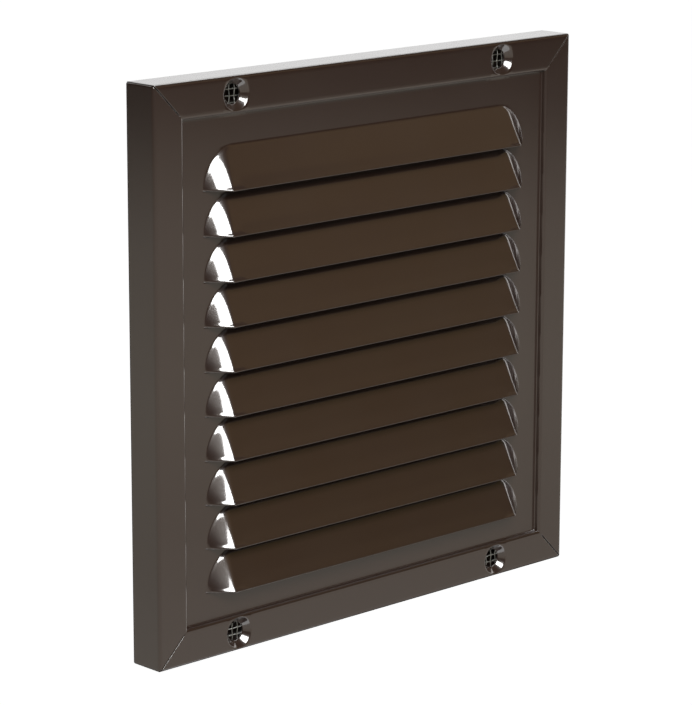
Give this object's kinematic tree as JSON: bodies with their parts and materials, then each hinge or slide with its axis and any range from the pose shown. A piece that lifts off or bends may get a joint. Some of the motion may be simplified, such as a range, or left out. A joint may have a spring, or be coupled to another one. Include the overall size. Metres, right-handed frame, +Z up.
{
  "type": "ventilation grille",
  "caption": "Square louvred wall vent grille of folded painted sheet, with a raised mitred border, countersunk screw holes and a fly mesh behind the louvres.",
  "frame": {"origin": "centre of the wall plane behind the grille, midway between the four screw holes", "axes": "+X to the right, +Z up, +Y into the wall, so the louvres face -Y"},
  "size_m": [0.15, 0.0144, 0.15],
  "materials": {
    "painted_sheet": "gloss dark brown paint",
    "mesh_wire": "plain wire"
  },
  "bodies": {
    "root": {"louvred_cover": "painted_sheet", "insect_mesh": "mesh_wire"}
  },
  "joints": []
}
